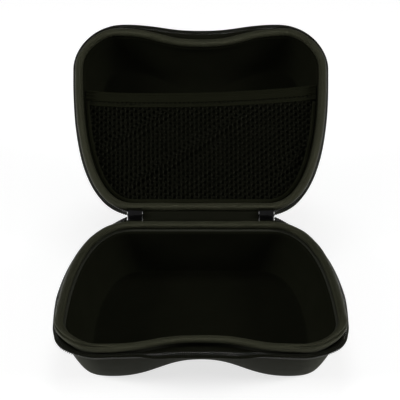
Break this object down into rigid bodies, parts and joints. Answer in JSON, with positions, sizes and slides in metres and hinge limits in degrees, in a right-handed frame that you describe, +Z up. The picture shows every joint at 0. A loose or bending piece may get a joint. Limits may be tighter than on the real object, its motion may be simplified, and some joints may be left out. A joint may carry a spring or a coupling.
{
  "type": "hard-shell carrying case",
  "caption": "Zip-round hard-shell case for a game controller, shown open, with a waisted outline, a padded rim roll, a cloth hinge and a net pocket in the lid.",
  "frame": {"origin": "middle of the base's flat underside", "axes": "+X to the right along the hinge, +Y to the rear where the hinge is, +Z up; the front, opposite the hinge, faces -Y"},
  "size_m": [0.1802, 0.2527, 0.1313],
  "materials": {
    "shell_cloth": "matte",
    "roll_cloth": "matte",
    "tape_cloth": "matte",
    "coil_nylon": "satin",
    "slider_metal": "satin",
    "net_cloth": "matte",
    "band_elastic": "matte"
  },
  "bodies": {
    "base": {"base_shell": "shell_cloth", "base_rim_roll": "roll_cloth", "base_zip_tape": "tape_cloth", "base_zip_coil": "coil_nylon", "hinge_strip": "tape_cloth", "zip_slider_left": "slider_metal", "zip_slider_right": "slider_metal"},
    "lid": {"lid_shell": "shell_cloth", "lid_rim_roll": "roll_cloth", "lid_zip_tape": "tape_cloth", "lid_zip_coil": "coil_nylon", "pocket_net": "net_cloth", "pocket_band": "band_elastic"},
    "pull_left": {"zip_pull_left": "slider_metal"},
    "pull_right": {"zip_pull_right": "slider_metal"}
  },
  "joints": [
    {"name": "lid_hinge", "type": "hinge", "parent": "base", "child": "lid", "pos_m": [0, 0.07, 0.04], "axis": [-1, 0, 0], "range_deg": [-138, 41.8]},
    {"name": "pull_left_swing", "type": "hinge", "parent": "base", "child": "pull_left", "pos_m": [-0.0448, 0.07, 0.03675], "axis": [0, 1, 0], "range_deg": [-75, 55]},
    {"name": "pull_right_swing", "type": "hinge", "parent": "base", "child": "pull_right", "pos_m": [0.0448, 0.07, 0.03675], "axis": [0, -1, 0], "range_deg": [-75, 55]}
  ]
}
